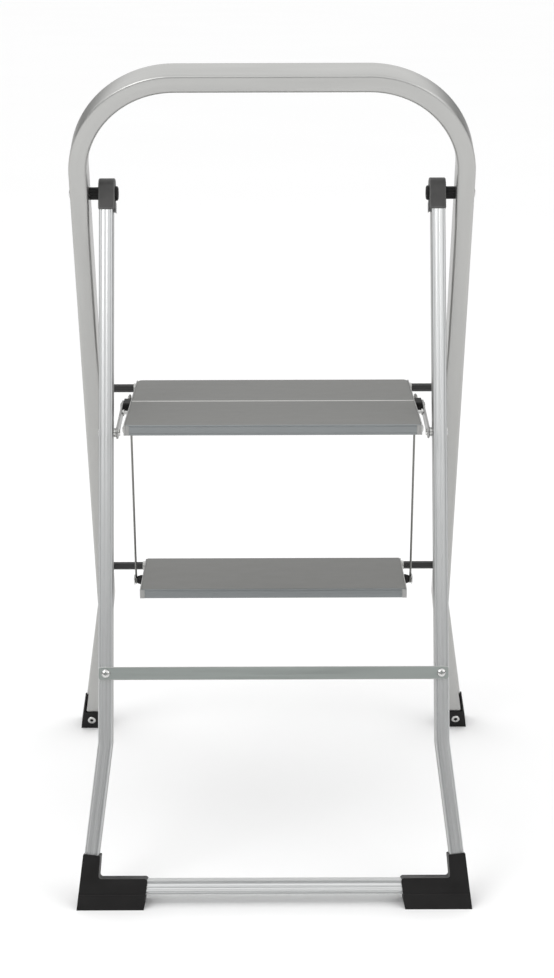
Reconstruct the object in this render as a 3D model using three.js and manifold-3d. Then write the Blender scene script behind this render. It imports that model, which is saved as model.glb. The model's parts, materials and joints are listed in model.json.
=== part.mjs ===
// Folding two-tread aluminium step stool with a tall hoop rail.
// Millimetres, +Z up, +Y is the side one climbs, origin on the floor below the middle of the stool.
import * as THREE from 'three';
import { mergeVertices } from 'three/addons/utils/BufferGeometryUtils.js';
import Module from 'manifold-3d';

const wasm = await Module();
wasm.setup();

// ---- Driving dimensions ----
const pivotHeight = 730;          // main pivot above the floor
const hoopLean = 20.9;            // degrees, hoop frame's top leans to -Y
const supportLean = 18.5;         // degrees, support frame's top leans to +Y
const gap = 0.3;                  // running and seating clearance

const hoop = {
  halfWidth: 220, tubeWidth: 20, tubeDepth: 35, wall: 1.6, edge: 2.5,
  aboveOuter: 146,                // hoop's outer top edge above the pivot, along the frame
  cornerRadius: 107, bendDrop: 571, splay: 8.4,
  endRise: 10,                    // tube's end above the floor, along the frame
};
const shoe = {                    // drops and rises are along the hoop frame, from the floor
  wall: 1.3, plateRise: 34, stripRise: 63, stripFlat: 4, flare: 1, stripSlack: 0.4,
  socketRise: 7.8, socketSlack: 0.3, belowFloor: 14,
  rivetRise: 21, rivetHead: 5.4, rivetEye: 3, rivetRim: 1.1, drill: 3.3,
};
const support = {
  halfWidth: 188.5, tubeWidth: 15, tubeDepth: 22, wall: 1.5, edge: 1.2,
  legTopDrop: 19.5, bendDrop: 598, splay: 6.9,
  tubeDrop: 751,                  // bottom tube's axis below the pivot, along the frame
  tubeHalf: 178, legEndDrop: 739,
  capReach: 1, capReachIn: 2, capDome: 4.5, // cap stands proud of the leg, centre of its dome
  plugLength: 18,
};
const foot = {                    // corner shoe of the support frame, drops along the frame
  topDrop: 717, topIn: 9.6, topOut: 8.6, topSlope: 2.2, halfDepth: 14, outerX: 212,
  armTipX: 135, armEndX: 140, armSoleX: 140.5, armTop: 9.6,
  cornerDrop: 738, cornerX: 10, filletDrop: 742, filletX: 11,
  belowFloor: 14, legSlack: 0.1, legSeat: 1.4,
};
const strap = {
  drop: 523, height: 14, thickness: 2, halfLength: 188, screwX: 180.1, corner: 3, drill: 2.5,
};
const tread = {
  halfWidth: 159, endPlate: 5.4, height: 12, skin: 2, lip: 2, edge: 1, ribHeight: 8,
  topAboveBar: 8, lowAboveBar: 6.6, // walking surface above the bar's axis
  earDepth: 7,                    // end plate's ear below the bar's axis
  topNear: 219, topFar: 8, lowNear: 114, lowFar: 10, seam: 0.6,
};
const bar = { radius: 3.5, sleeve: 4.75, topDrop: 254.5, spacing: 264 };
const arm = {
  pinDrop: 262.5,                 // arm pin below the pivot, along the support leg
  inner: 168, thickness: 2, width: 14, pinRadius: 3,
  eyeNear: 84, eyeBelow: 2.9,      // arm's upper eye, from the top bar
};
const rod = { radius: 1.25, near: 60, above: 1, topX: 162.6, lowX: 166.5, eyeRadius: 3.7 };
const bolt = { radius: 3, headRadius: 6, headHeight: 2.2, bush: 7, nutRadius: 8, nutHeight: 1.8 };
const stud = { shank: 2, shankHole: 2.3, rodShank: 1.9, rodHole: 2.2, root: 0.6 };
const rivet = {
  nearArmEye: 41, aboveBar: -0.4, tongue: 1.2,
  headOut: 5.4, headHeight: 3,    // head's seat out from the end plate
  screwFromEdge: 10, screwAboveBar: 1,
};
const sides = [['left', -1], ['right', 1]];

// ---- Materials ----
function finish(color, roughness, metalness) {
  return new THREE.MeshStandardMaterial({ color, roughness, metalness });
}
const hoopMetal = finish(0xb4b5b2, 0.42, 0.9);
const legMetal = finish(0xcfd1d0, 0.38, 0.9);
const treadMetal = finish(0x868682, 0.6, 0.7);
const edgeMetal = finish(0xb9bbb8, 0.45, 0.85);
const strapMetal = finish(0x8d938f, 0.45, 0.85);
const steel = finish(0xc8cacb, 0.25, 1.0);
const blackPlastic = finish(0x262626, 0.5, 0.0);
const greyPlastic = finish(0x454545, 0.5, 0.0);

// ---- Angles and places ----
const rad = THREE.MathUtils.degToRad;
const hoopTilt = rad(hoopLean);
const supportTilt = rad(supportLean);
const topBarY = bar.topDrop * Math.sin(hoopTilt);
const topBarZ = pivotHeight - bar.topDrop * Math.cos(hoopTilt);
const lowBarY = (bar.topDrop + bar.spacing) * Math.sin(hoopTilt);
const lowBarZ = pivotHeight - (bar.topDrop + bar.spacing) * Math.cos(hoopTilt);

// ---- Solids ----
function solid(geometry) {
  const bare = geometry.index ? geometry.toNonIndexed() : geometry.clone();
  bare.deleteAttribute('normal');
  bare.deleteAttribute('uv');
  const merged = mergeVertices(bare, 1e-4);
  return new wasm.Manifold(new wasm.Mesh({
    numProp: 3,
    vertProperties: Float32Array.from(merged.attributes.position.array),
    triVerts: Uint32Array.from(merged.index.array),
  }));
}

function geometryOf(manifold) {
  const mesh = manifold.getMesh();
  const geometry = new THREE.BufferGeometry();
  geometry.setAttribute('position', new THREE.BufferAttribute(mesh.vertProperties, 3));
  geometry.setIndex(new THREE.BufferAttribute(mesh.triVerts, 1));
  geometry.computeVertexNormals();
  return geometry;
}

function cut(geometry, tools) {
  return geometryOf(tools.reduce((body, tool) => body.subtract(solid(tool)), solid(geometry)));
}

function join(geometries) {
  const [first, ...rest] = geometries.map(solid);
  return geometryOf(rest.reduce((body, other) => body.add(other), first));
}

function box(x0, x1, y0, y1, z0, z1) {
  const geometry = new THREE.BoxGeometry(x1 - x0, y1 - y0, z1 - z0);
  return geometry.translate((x0 + x1) / 2, (y0 + y1) / 2, (z0 + z1) / 2);
}

// A round bar along X between two places, about the axis through (y, z).
function barX(radius, x0, x1, y = 0, z = 0, facets = 20) {
  const geometry = new THREE.CylinderGeometry(radius, radius, Math.abs(x1 - x0), facets);
  return geometry.rotateZ(Math.PI / 2).translate((x0 + x1) / 2, y, z);
}

// A turned piece about X: profile points are [radius, x], from one end to the other.
function turnedX(profile, y = 0, z = 0, facets = 16) {
  const points = profile.map(([r, x]) => new THREE.Vector2(r, x));
  return new THREE.LatheGeometry(points, facets).rotateZ(-Math.PI / 2).translate(0, y, z);
}

// The profile of a ring between two radii, closed on itself.
function ringProfile(inner, outer, x0, x1) {
  return [[inner, x0], [outer, x0], [outer, x1], [inner, x1], [inner, x0]];
}

// A turned piece described for the right-hand side, mirrored in X for the left.
function sided(profile, side) {
  const mirrored = profile.map(([r, x]) => [r, side * x]);
  return side > 0 ? mirrored : mirrored.reverse();
}

// An outline in the Y-Z plane, made thick along X.
function plateX(shape, x0, x1) {
  const low = Math.min(x0, x1);
  const geometry = new THREE.ExtrudeGeometry(shape, {
    depth: Math.abs(x1 - x0), bevelEnabled: false, curveSegments: 8,
  });
  return geometry.rotateX(Math.PI / 2).rotateZ(Math.PI / 2).translate(low, 0, 0);
}

// An outline in the X-Z plane, made thick along Y.
function plateY(shape, y0, y1) {
  const geometry = new THREE.ExtrudeGeometry(shape, {
    depth: y1 - y0, bevelEnabled: false, curveSegments: 8,
  });
  return geometry.rotateX(Math.PI / 2).translate(0, y1, 0);
}

function polygon(points) {
  return new THREE.Shape(points.map(([x, y]) => new THREE.Vector2(x, y)));
}

function roundHole(shape, x, y, radius) {
  const hole = new THREE.Path();
  hole.absarc(x, y, radius, 0, Math.PI * 2, true);
  shape.holes.push(hole);
}

// A rectangle centred on the origin with cut corners.
function cutRectangle(width, height, edge) {
  const x = width / 2;
  const y = height / 2;
  return [
    [-x + edge, -y], [x - edge, -y], [x, -y + edge], [x, y - edge],
    [x - edge, y], [-x + edge, y], [-x, y - edge], [-x, -y + edge],
  ];
}

// Wall of a rectangular tube: first size is across the frame (Y), second is along X.
function tubeSection({ tubeWidth, tubeDepth, wall, edge }) {
  const shape = polygon(cutRectangle(tubeDepth, tubeWidth, edge));
  const inner = polygon([[-1, -1], [1, -1], [1, 1], [-1, 1]].map(
    ([a, b]) => [a * (tubeDepth / 2 - wall), b * (tubeWidth / 2 - wall)],
  ));
  shape.holes.push(new THREE.Path(inner.getPoints().reverse()));
  return shape;
}

class Bend extends THREE.Curve {
  constructor(centre, radius, from, to) {
    super();
    Object.assign(this, { centre, radius, from, to });
  }

  getPoint(t, target = new THREE.Vector3()) {
    const angle = THREE.MathUtils.lerp(this.from, this.to, t);
    return target.set(
      this.centre.x + this.radius * Math.cos(angle), 0, this.centre.z + this.radius * Math.sin(angle),
    );
  }
}

function pathOf(curves) {
  const path = new THREE.CurvePath();
  curves.forEach((curve) => path.add(curve));
  return path;
}

function line(x0, z0, x1, z1) {
  return new THREE.LineCurve3(new THREE.Vector3(x0, 0, z0), new THREE.Vector3(x1, 0, z1));
}

// Everything below the floor, in the axes of a group that stands at the pivot with this tilt.
function belowFloor(tilt) {
  const block = box(-400, 400, -600, 600, -pivotHeight - 200, -pivotHeight);
  return block.rotateX(-tilt);
}

// ---- Groups ----
const stool = new THREE.Group();
const hoopFrame = new THREE.Group();
hoopFrame.position.z = pivotHeight;
hoopFrame.rotation.x = hoopTilt;
const supportFrame = new THREE.Group();
supportFrame.position.z = pivotHeight;
supportFrame.rotation.x = -supportTilt;
const topTread = new THREE.Group();
topTread.position.set(0, topBarY, topBarZ);
const lowTread = new THREE.Group();
lowTread.position.set(0, lowBarY, lowBarZ);
stool.add(hoopFrame, supportFrame, topTread, lowTread);

function place(group, name, geometry, material) {
  const mesh = new THREE.Mesh(geometry, material);
  mesh.name = name;
  group.add(mesh);
  return mesh;
}

// ---- Hoop frame ----
const hoopAxis = hoop.halfWidth - hoop.tubeWidth / 2;
const hoopFootDrop = pivotHeight / Math.cos(hoopTilt);
const splayRun = (drop, frame) => (drop - frame.bendDrop) * Math.tan(rad(frame.splay));

function hoopRail() {
  const topAxis = hoop.aboveOuter - hoop.tubeWidth / 2;
  const arcZ = topAxis - hoop.cornerRadius;
  const arcX = hoopAxis - hoop.cornerRadius;
  const endDrop = hoopFootDrop - hoop.endRise;
  const endX = hoopAxis + splayRun(endDrop, hoop);
  const rail = new THREE.ExtrudeGeometry(tubeSection(hoop), {
    steps: 98,
    bevelEnabled: false,
    extrudePath: pathOf([
      line(-endX, -endDrop, -hoopAxis, -hoop.bendDrop),
      line(-hoopAxis, -hoop.bendDrop, -hoopAxis, arcZ),
      new Bend({ x: -arcX, z: arcZ }, hoop.cornerRadius, Math.PI, Math.PI / 2),
      line(-arcX, topAxis, arcX, topAxis),
      new Bend({ x: arcX, z: arcZ }, hoop.cornerRadius, Math.PI / 2, 0),
      line(hoopAxis, arcZ, hoopAxis, -hoop.bendDrop),
      line(hoopAxis, -hoop.bendDrop, endX, -endDrop),
    ]),
  });
  const holes = sides.flatMap(([, side]) => [
    barX(bolt.radius + gap, side * (hoopAxis - 30), side * (hoopAxis + 30)),
    barX(bar.radius + gap, side * (hoopAxis - 30), side * hoopAxis, 0, -bar.topDrop),
    barX(bar.radius + gap, side * (hoopAxis - 30), side * hoopAxis, 0, -bar.topDrop - bar.spacing),
    rivetDrill(side),
  ]);
  return cut(rail, holes);
}

// The shoe's rivet goes through shoe and tube from front to back.
const rivetDrop = hoopFootDrop - shoe.rivetRise;
const rivetX = hoopAxis + splayRun(rivetDrop, hoop);

function rivetDrill(side) {
  const drill = new THREE.CylinderGeometry(shoe.drill, shoe.drill, 3 * hoop.tubeDepth, 20);
  return drill.translate(side * rivetX, 0, -rivetDrop);
}

function hoopShoe(side) {
  const half = hoop.tubeWidth / 2 + gap + shoe.wall;
  const depth = hoop.tubeDepth / 2 + gap + shoe.wall;
  const centre = (drop) => hoopAxis + splayRun(drop, hoop);
  const bottom = hoopFootDrop + shoe.belowFloor;
  const plateTop = hoopFootDrop - shoe.plateRise;
  const stripTop = hoopFootDrop - shoe.stripRise;
  const outline = polygon([
    [side * (centre(bottom) - half), -bottom],
    [side * (centre(bottom) + half + shoe.flare), -bottom],
    [side * (centre(stripTop) + half), -stripTop],
    [side * (centre(stripTop) + half - shoe.wall), -stripTop],
    [side * (centre(plateTop) + half - shoe.wall - shoe.stripSlack), -plateTop],
    [side * (centre(plateTop) - half), -plateTop],
  ]);
  const lean = new THREE.Matrix4().makeShear(0, 0, 0, 0, side * -Math.tan(rad(hoop.splay)), 0);
  const socketHalf = hoop.tubeWidth / 2 + gap + shoe.socketSlack;
  const socket = box(
    side * hoopAxis - socketHalf, side * hoopAxis + socketHalf,
    -hoop.tubeDepth / 2 - gap, hoop.tubeDepth / 2 + gap, hoop.bendDrop - hoopFootDrop, 0,
  ).applyMatrix4(lean).translate(0, 0, -hoop.bendDrop);
  const floorOfSocket = box(-400, 400, -60, 60, -1200, shoe.socketRise - hoopFootDrop);
  const aboveSlope = plateX(polygon([
    [shoe.stripFlat - depth, 1 - stripTop], [depth + 1, 1 - stripTop], [depth + 1, -plateTop],
  ]), side * 150, side * 300);
  return cut(plateY(outline, -depth, depth), [
    geometryOf(solid(socket).subtract(solid(floorOfSocket))), aboveSlope, belowFloor(hoopTilt),
    rivetDrill(side),
  ]);
}

function tubularRivet(side) {
  const face = hoop.tubeDepth / 2 + gap + shoe.wall + gap;
  const { rivetHead: head, rivetEye: eye, rivetRim: rim } = shoe;
  const end = (way) => [
    [eye - rim, way * (face + 0.4)], [eye + 0.4, way * (face + rim)],
    [head - 0.6, way * (face + rim)], [head, way * face], [eye, way * face],
  ];
  const profile = [...end(-1), ...end(1).reverse(), [eye - rim, -face - 0.4]];
  const points = profile.map(([r, y]) => new THREE.Vector2(r, y));
  return new THREE.LatheGeometry(points, 16).translate(side * rivetX, 0, -rivetDrop);
}

const hoopInner = hoop.halfWidth - hoop.tubeWidth;
const capOuter = support.halfWidth + support.capReach;
const capInner = support.halfWidth - support.tubeWidth - support.capReachIn;

function hoopPieces() {
  place(hoopFrame, 'hoop_rail', hoopRail(), hoopMetal);
  place(hoopFrame, 'top_bar', barX(bar.radius, -hoopInner - 4, hoopInner + 4, 0, -bar.topDrop), steel);
  place(hoopFrame, 'low_bar', barX(
    bar.radius, -hoopInner - 4, hoopInner + 4, 0, -bar.topDrop - bar.spacing,
  ), steel);
  sides.forEach(([name, side]) => {
    place(hoopFrame, `hoop_shoe_${name}`, hoopShoe(side), blackPlastic);
    place(hoopFrame, `shoe_rivet_${name}`, tubularRivet(side), steel);
    const head = hoop.halfWidth + gap;
    const end = capInner - 1.5;
    place(hoopFrame, `pivot_bolt_${name}`, turnedX(sided([
      [0, end], [bolt.radius, end], [bolt.radius, head], [bolt.headRadius, head],
      [bolt.headRadius, head + bolt.headHeight * 0.5], [bolt.headRadius * 0.7, head + bolt.headHeight],
      [0, head + bolt.headHeight],
    ], side)), steel);
    place(hoopFrame, `pivot_bush_${name}`, turnedX(
      sided(ringProfile(bolt.radius + gap, bolt.bush, capOuter + gap, hoopInner - gap), side),
    ), blackPlastic);
    place(hoopFrame, `pivot_nut_${name}`, turnedX(sided([
      [0, end - bolt.nutHeight], [bolt.nutRadius * 0.78, end - bolt.nutHeight],
      [bolt.nutRadius, end - bolt.nutHeight / 2], [bolt.nutRadius, capInner - gap],
      [bolt.radius + gap, capInner - gap], [bolt.radius + gap, end - gap], [0, end - gap],
    ], side)), blackPlastic);
    [['top', bar.topDrop], ['low', bar.topDrop + bar.spacing]].forEach(([level, drop]) => {
      const sleeve = ringProfile(bar.radius + gap, bar.sleeve, tread.halfWidth + gap, hoopInner - gap);
      place(hoopFrame, `${level}_bar_sleeve_${name}`, turnedX(sided(sleeve, side), 0, -drop), blackPlastic);
    });
  });
}

// ---- Support frame ----
const supportAxis = support.halfWidth - support.tubeWidth / 2;
const supportFootDrop = pivotHeight / Math.cos(supportTilt);

function supportLeg(side) {
  const endX = supportAxis + splayRun(support.legEndDrop, support);
  const leg = new THREE.ExtrudeGeometry(tubeSection(support), {
    steps: 5,
    bevelEnabled: false,
    extrudePath: pathOf([
      line(side * endX, -support.legEndDrop, side * supportAxis, -support.bendDrop),
      line(side * supportAxis, -support.bendDrop, side * supportAxis, -support.legTopDrop),
    ]),
  });
  const screwDrill = new THREE.CylinderGeometry(strap.drill, strap.drill, 16, 16);
  screwDrill.translate(side * strap.screwX, -support.tubeDepth / 2, -strap.drop);
  return cut(leg, [
    barX(arm.pinRadius + gap, side * (supportAxis - 30), side * (supportAxis + 30), 0, -arm.pinDrop),
    screwDrill,
  ]);
}

// A domed cap that plugs into the leg and turns on the pivot bolt.
function legCap(side) {
  const half = support.tubeDepth / 2 + support.capReach;
  const outline = new THREE.Shape();
  outline.moveTo(-half, -support.legTopDrop + gap);
  outline.lineTo(half, -support.legTopDrop + gap);
  outline.lineTo(half, support.capDome);
  outline.absarc(0, support.capDome, half, 0, Math.PI, false);
  outline.lineTo(-half, -support.legTopDrop + gap);
  roundHole(outline, 0, 0, bolt.radius + gap);
  const shell = plateX(outline, side * capInner, side * capOuter);
  const plugHalf = support.tubeWidth / 2 - support.wall - gap;
  const plugDepth = support.tubeDepth / 2 - support.wall - gap;
  const centre = side * supportAxis;
  const plug = box(
    centre - plugHalf, centre + plugHalf, -plugDepth, plugDepth,
    -support.legTopDrop - support.plugLength, -support.legTopDrop + 2,
  );
  return join([shell, plug]);
}

function strapBrace() {
  const shape = polygon(cutRectangle(2 * strap.halfLength, strap.height, strap.corner));
  sides.forEach(([, side]) => roundHole(shape, side * strap.screwX, 0, strap.drill));
  const front = -support.tubeDepth / 2 - gap;
  return plateY(shape, front - strap.thickness, front).translate(0, 0, -strap.drop);
}

function strapScrew(side) {
  const seat = support.tubeDepth / 2 + gap + strap.thickness + gap;
  const profile = [
    [0, -seat - 2.6], [1.6, -seat - 2.6], [3.4, -seat - 1.9], [4.8, -seat], [2.2, -seat],
    [2.2, -seat + 8], [0, -seat + 8],
  ];
  const points = profile.map(([r, y]) => new THREE.Vector2(r, y));
  return new THREE.LatheGeometry(points, 16).translate(side * strap.screwX, 0, -strap.drop);
}

// The corner shoe takes the leg from above and the bottom tube from the side.
function supportFoot(side) {
  const legX = (drop) => supportAxis + splayRun(drop, support);
  const sole = supportFootDrop + foot.belowFloor;
  const outline = polygon([
    [legX(foot.topDrop) - foot.topIn, -foot.topDrop],
    [legX(foot.topDrop) + foot.topOut, -foot.topDrop + foot.topSlope],
    [foot.outerX, -sole], [foot.armSoleX, -sole],
    [foot.armEndX, -supportFootDrop + 1], [foot.armTipX, foot.armTop - support.tubeDrop],
    [legX(foot.filletDrop) - foot.filletX, foot.armTop - support.tubeDrop],
    [legX(foot.cornerDrop) - foot.cornerX, -foot.cornerDrop],
  ].map(([x, z]) => [side * x, z]));
  const lean = new THREE.Matrix4().makeShear(0, 0, 0, 0, side * -Math.tan(rad(support.splay)), 0);
  const half = support.tubeWidth / 2 + gap + foot.legSlack;
  const depth = support.tubeDepth / 2 + gap;
  const legSocket = box(
    side * supportAxis - half, side * supportAxis + half, -depth, depth,
    support.bendDrop - support.legEndDrop - foot.legSeat, 0,
  ).applyMatrix4(lean).translate(0, 0, -support.bendDrop);
  const tubeSocket = box(
    side > 0 ? 100 : -support.tubeHalf - gap, side > 0 ? support.tubeHalf + gap : -100, -depth, depth,
    -support.tubeDrop - support.tubeWidth / 2 - gap, -support.tubeDrop + support.tubeWidth / 2 + gap,
  );
  return cut(plateY(outline, -foot.halfDepth, foot.halfDepth), [
    legSocket, tubeSocket, belowFloor(-supportTilt),
  ]);
}

function bottomTube() {
  const { tubeHalf, tubeDrop } = support;
  return plateX(tubeSection(support), -tubeHalf, tubeHalf).translate(0, 0, -tubeDrop);
}

const armOuter = arm.inner + arm.thickness;

function supportPieces() {
  place(supportFrame, 'bottom_tube', bottomTube(), legMetal);
  place(supportFrame, 'strap_brace', strapBrace(), strapMetal);
  sides.forEach(([name, side]) => {
    place(supportFrame, `support_leg_${name}`, supportLeg(side), legMetal);
    place(supportFrame, `leg_cap_${name}`, legCap(side), greyPlastic);
    place(supportFrame, `support_foot_${name}`, supportFoot(side), blackPlastic);
    place(supportFrame, `strap_screw_${name}`, strapScrew(side), steel);
    const headEnd = arm.inner - gap;
    const outer = support.halfWidth + gap;
    place(supportFrame, `arm_pin_${name}`, turnedX(sided([
      [0, headEnd - 1.8], [4, headEnd - 1.8], [5.5, headEnd - 0.8], [5.5, headEnd],
      [arm.pinRadius, headEnd], [arm.pinRadius, outer], [5, outer], [4.2, outer + 1.4], [0, outer + 1.4],
    ], side), 0, -arm.pinDrop), steel);
    const spacer = ringProfile(
      arm.pinRadius + gap, 5.6, armOuter + gap, support.halfWidth - support.tubeWidth - gap,
    );
    place(supportFrame, `arm_spacer_${name}`, turnedX(sided(spacer, side), 0, -arm.pinDrop), steel);
  });
}

// ---- Treads ----
const panelHalf = tread.halfWidth - tread.endPlate - gap;

// A panel is a thin deck with lips at both edges and a stiffening rib between them.
function treadPanel(near, far, top) {
  const low = top - tread.height;
  const under = top - tread.skin;
  const middle = (near + far) / 2;
  const shape = polygon([
    [near, low], [near + tread.lip, low], [near + tread.lip, under],
    [middle - 1, under], [middle - 1, under - tread.ribHeight],
    [middle + 1, under - tread.ribHeight], [middle + 1, under],
    [far - tread.lip, under], [far - tread.lip, low], [far, low], [far, top - tread.edge],
    [far - tread.edge, top], [near + tread.edge, top], [near, top - tread.edge],
  ]);
  return plateX(shape, -panelHalf, panelHalf);
}

// The plate at each end of a tread, with the eye for the bar near its far edge.
function endPlate(side, near, far, top, holes) {
  const low = top - tread.height;
  const ear = tread.earDepth;
  const shape = new THREE.Shape();
  shape.moveTo(near, low);
  shape.lineTo(-ear - 2, low);
  shape.lineTo(2 - ear, -ear);
  shape.lineTo(ear - 2, -ear);
  shape.lineTo(far, low + 2);
  shape.lineTo(far, top - 3);
  shape.lineTo(far - 3, top);
  shape.lineTo(near + tread.edge, top);
  shape.lineTo(near, top - tread.edge);
  roundHole(shape, 0, 0, bar.radius + gap);
  holes.forEach(([y, z, r]) => roundHole(shape, y, z, r));
  return plateX(shape, side * (tread.halfWidth - tread.endPlate), side * tread.halfWidth);
}

// A fixing pin that sits in an end plate, with a low domed head that starts at headX.
function studProfile(shank, headX, headRadius, headHeight) {
  const root = tread.halfWidth - tread.endPlate + stud.root;
  return [
    [0, root], [shank, root], [shank, headX], [headRadius, headX],
    [headRadius, headX + headHeight * 0.4], [headRadius * 0.6, headX + headHeight], [0, headX + headHeight],
  ];
}

const knuckleInner = tread.halfWidth + gap;
const tongueOuter = knuckleInner + rivet.tongue;
const knuckleRivetY = -arm.eyeNear - rivet.nearArmEye;
const plateScrewY = -tread.topNear + rivet.screwFromEdge;

// The black joint piece at the middle of each side: a thick block with a thin tongue for its rivet.
function knuckle(side) {
  const eye = -arm.eyeNear;
  const block = polygon([
    [eye - 16, -3], [eye - 14, -4.5], [eye + 9, -4.5], [eye + 12, -2],
    [eye + 12, 2.5], [eye + 9, 4.5], [eye - 14, 4.5], [eye - 16, 3],
  ]);
  const tongue = polygon([
    [eye - 46.5, -1.6], [eye - 44.5, -3.6], [eye - 10, -3.6],
    [eye - 10, 3.4], [eye - 44.5, 3.4], [eye - 46.5, 1.4],
  ]);
  const body = join([
    plateX(block, side * knuckleInner, side * (arm.inner - gap)),
    plateX(tongue, side * knuckleInner, side * tongueOuter),
  ]);
  return cut(body, [barX(stud.shankHole, side * 150, side * 175, knuckleRivetY, rivet.aboveBar)]);
}

function topTreadPieces() {
  const seam = (tread.topFar - tread.topNear) / 2;
  const half = tread.seam / 2;
  const { topNear, topFar, topAboveBar } = tread;
  place(topTread, 'top_front_panel', treadPanel(-topNear, seam - half, topAboveBar), treadMetal);
  place(topTread, 'top_rear_panel', treadPanel(seam + half, topFar, topAboveBar), treadMetal);
  sides.forEach(([name, side]) => {
    const plate = endPlate(side, -topNear, topFar, topAboveBar, [
      [-rod.near, rod.above, stud.rodHole], [knuckleRivetY, rivet.aboveBar, stud.shankHole],
      [plateScrewY, rivet.screwAboveBar, stud.shankHole],
    ]);
    place(topTread, `top_end_plate_${name}`, plate, edgeMetal);
    place(topTread, `knuckle_${name}`, knuckle(side), blackPlastic);
    const head = tread.halfWidth + gap + rivet.headOut;
    const knuckleRivet = sided(studProfile(stud.shank, head, 4, rivet.headHeight), side);
    place(topTread, `knuckle_rivet_${name}`, turnedX(knuckleRivet, knuckleRivetY, rivet.aboveBar), steel);
    const screw = sided(studProfile(stud.shank, tread.halfWidth + gap, 4, 1.8), side);
    place(topTread, `plate_screw_${name}`, turnedX(screw, plateScrewY, rivet.screwAboveBar), steel);
    place(topTread, `rod_stud_top_${name}`, turnedX(
      sided(studProfile(stud.rodShank, rod.topX + rod.radius + gap, 3.2, 1.1), side), -rod.near, rod.above,
    ), steel);
  });
}

function lowTreadPieces() {
  const { lowNear, lowFar, lowAboveBar } = tread;
  place(lowTread, 'low_panel', treadPanel(-lowNear, lowFar, lowAboveBar), treadMetal);
  sides.forEach(([name, side]) => {
    const holes = [[-rod.near, rod.above, stud.rodHole]];
    place(lowTread, `low_end_plate_${name}`, endPlate(side, -lowNear, lowFar, lowAboveBar, holes), edgeMetal);
    place(lowTread, `rod_bush_${name}`, turnedX(sided(
      ringProfile(stud.rodHole, 5.8, tread.halfWidth + gap, rod.lowX - rod.radius - gap), side,
    ), -rod.near, rod.above), blackPlastic);
    place(lowTread, `rod_stud_low_${name}`, turnedX(sided(
      studProfile(stud.rodShank, rod.lowX + rod.radius + gap, 6.6, 1.6), side,
    ), -rod.near, rod.above), steel);
  });
}

// ---- Linkage ----
// Flat arm from the support leg's pin to the knuckle, along the line between its two eyes.
function linkArm(side, length) {
  const half = arm.width / 2;
  const shape = new THREE.Shape();
  shape.moveTo(0, -half);
  shape.lineTo(length, -half);
  shape.absarc(length, 0, half, -Math.PI / 2, Math.PI / 2, false);
  shape.lineTo(0, half);
  shape.absarc(0, 0, half, Math.PI / 2, Math.PI * 1.5, false);
  roundHole(shape, 0, 0, arm.pinRadius + gap);
  roundHole(shape, length, 0, arm.pinRadius + gap);
  return plateX(shape, side * arm.inner, side * armOuter);
}

// Wire rod with an eye at each end; it runs from the top stud to the low stud.
function tieRod(side) {
  const eye = (x) => new THREE.TorusGeometry(rod.eyeRadius, rod.radius, 8, 16).rotateY(Math.PI / 2)
    .translate(side * x, 0, 0);
  const length = bar.spacing;
  const wire = new THREE.CylinderGeometry(rod.radius, rod.radius, length - 2 * rod.eyeRadius, 8);
  wire.rotateX(Math.PI / 2).rotateY(side * Math.atan((rod.topX - rod.lowX) / length));
  wire.translate(side * (rod.topX + rod.lowX) / 2, 0, -length / 2);
  return join([wire, eye(rod.topX), eye(rod.lowX).translate(0, 0, -length)]);
}

function linkagePieces() {
  const pinY = -arm.pinDrop * Math.sin(supportTilt);
  const pinZ = pivotHeight - arm.pinDrop * Math.cos(supportTilt);
  const eyeY = topBarY - arm.eyeNear;
  const eyeZ = topBarZ - arm.eyeBelow;
  const length = Math.hypot(eyeY - pinY, eyeZ - pinZ);
  const slope = Math.atan2(eyeZ - pinZ, eyeY - pinY);
  sides.forEach(([name, side]) => {
    const link = place(stool, `link_arm_${name}`, linkArm(side, length), legMetal);
    link.position.set(0, pinY, pinZ);
    link.rotation.x = slope;
    const knob = place(stool, `arm_rivet_${name}`, turnedX(sided([
      [0, arm.inner + 0.2], [arm.pinRadius, arm.inner + 0.2], [arm.pinRadius, armOuter + gap],
      [5, armOuter + gap], [5, armOuter + 1], [3, armOuter + 2.2], [0, armOuter + 2.2],
    ], side)), steel);
    knob.position.set(0, eyeY, eyeZ);
    const wire = place(stool, `tie_rod_${name}`, tieRod(side), steel);
    wire.position.set(0, topBarY - rod.near, topBarZ + rod.above);
    wire.rotation.x = hoopTilt;
  });
}

hoopPieces();
supportPieces();
topTreadPieces();
lowTreadPieces();
linkagePieces();

// Stand the stool with the middle of its depth above the origin.
stool.updateMatrixWorld(true);
const extent = new THREE.Box3().setFromObject(stool, true);
stool.position.y = -(extent.min.y + extent.max.y) / 2;

export default stool;
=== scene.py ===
# Folding two-tread step stool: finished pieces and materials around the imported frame.
import json
import math

import bmesh
import bpy
from mathutils import Matrix, Vector


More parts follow.
